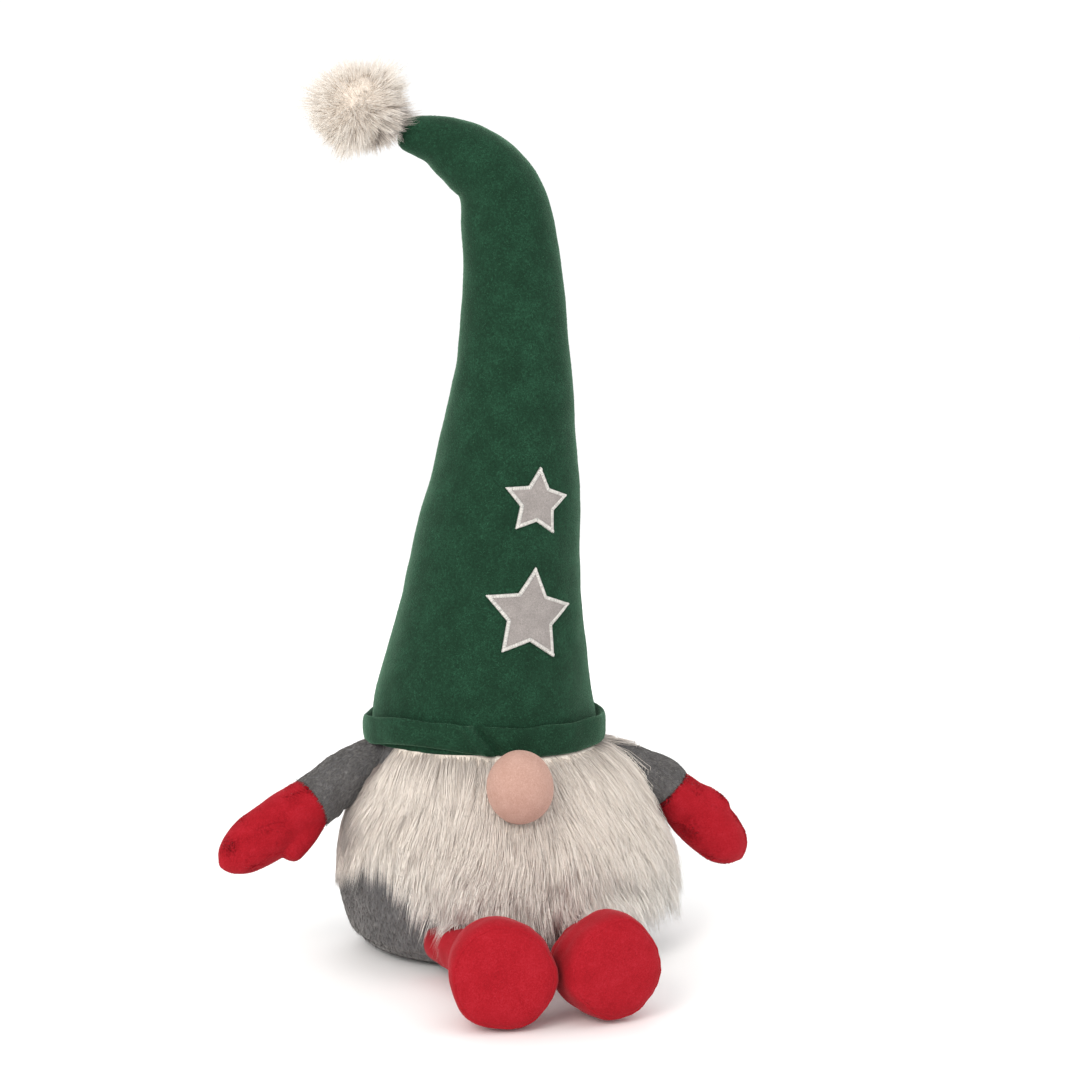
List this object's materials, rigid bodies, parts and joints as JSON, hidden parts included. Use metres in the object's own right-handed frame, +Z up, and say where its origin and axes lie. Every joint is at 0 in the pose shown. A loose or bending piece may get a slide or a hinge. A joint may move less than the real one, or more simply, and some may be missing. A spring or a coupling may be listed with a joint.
{
  "type": "tomte gnome figurine",
  "caption": "Soft plush sitting gnome with a tall bent felt hat, fur beard, round nose, stuffed arms with mittens and legs with boots.",
  "frame": {"origin": "centre of the base panel's underside, on the surface the gnome sits on", "axes": "+Z up the figure towards the hat's point, the face looks along -Y, the figure's own right hand is at -X"},
  "size_m": [0.3555, 0.3091, 0.576],
  "materials": {
    "grey_plush": "matte",
    "red_plush": "matte",
    "skin_plush": "matte",
    "green_felt": "matte",
    "grey_felt": "matte",
    "satin_thread": "satin",
    "cream_fur": "matte",
    "backing_cloth": "matte",
    "fibre_filling": "matte",
    "pellet_bag": "matte",
    "steel_wire": "satin"
  },
  "bodies": {
    "gnome": {"body_shell": "grey_plush", "base_panel": "grey_plush", "body_filling": "fibre_filling", "pellet_bag": "pellet_bag", "beard_backing": "backing_cloth", "beard_pile": "cream_fur", "nose_shell": "skin_plush", "nose_filling": "fibre_filling", "hat_cone": "green_felt", "hat_brim": "green_felt", "hat_filling_lower": "fibre_filling", "hat_filling_middle": "fibre_filling", "hat_filling_upper": "fibre_filling", "hat_wire": "steel_wire", "star_large_patch": "grey_felt", "star_large_border": "satin_thread", "star_small_patch": "grey_felt", "star_small_border": "satin_thread"},
    "hat_end": {"hat_tip": "green_felt", "hat_tip_filling": "fibre_filling", "hat_tip_wire": "steel_wire"},
    "pompom": {"pompom_pile": "cream_fur", "pompom_core": "fibre_filling", "pompom_tie": "satin_thread"},
    "arm_right": {"sleeve_right": "grey_plush", "mitten_right": "red_plush", "arm_filling_right": "fibre_filling"},
    "leg_right": {"leg_right": "red_plush", "leg_filling_right": "fibre_filling", "boot_upper_right": "red_plush", "boot_sole_right": "red_plush", "boot_filling_right": "fibre_filling"},
    "arm_left": {"sleeve_left": "grey_plush", "mitten_left": "red_plush", "arm_filling_left": "fibre_filling"},
    "leg_left": {"leg_left": "red_plush", "leg_filling_left": "fibre_filling", "boot_upper_left": "red_plush", "boot_sole_left": "red_plush", "boot_filling_left": "fibre_filling"}
  },
  "joints": [
    {"name": "hat_bend", "type": "hinge", "parent": "gnome", "child": "hat_end", "pos_m": [0.0105, 0, 0.4945], "axis": [0, 1, 0], "range_deg": [-18, 45]},
    {"name": "pompom_swing", "type": "hinge", "parent": "hat_end", "child": "pompom", "pos_m": [-0.055, 0, 0.533], "axis": [0, 1, 0], "range_deg": [-18, 18], "stiffness_Nm_per_rad": 0.05},
    {"name": "shoulder_right", "type": "hinge", "parent": "gnome", "child": "arm_right", "pos_m": [-0.0915, -0.004, 0.113], "axis": [0, 1, 0], "range_deg": [-8, 55], "stiffness_Nm_per_rad": 0.05},
    {"name": "shoulder_left", "type": "hinge", "parent": "gnome", "child": "arm_left", "pos_m": [0.0915, -0.004, 0.113], "axis": [0, -1, 0], "range_deg": [-8, 55], "stiffness_Nm_per_rad": 0.05},
    {"name": "hip_right", "type": "hinge", "parent": "gnome", "child": "leg_right", "pos_m": [-0.045, -0.0885, 0.022], "axis": [-1, 0, 0], "range_deg": [0, 35], "stiffness_Nm_per_rad": 0.06},
    {"name": "hip_left", "type": "hinge", "parent": "gnome", "child": "leg_left", "pos_m": [0.045, -0.0885, 0.022], "axis": [-1, 0, 0], "range_deg": [0, 35], "stiffness_Nm_per_rad": 0.06}
  ]
}
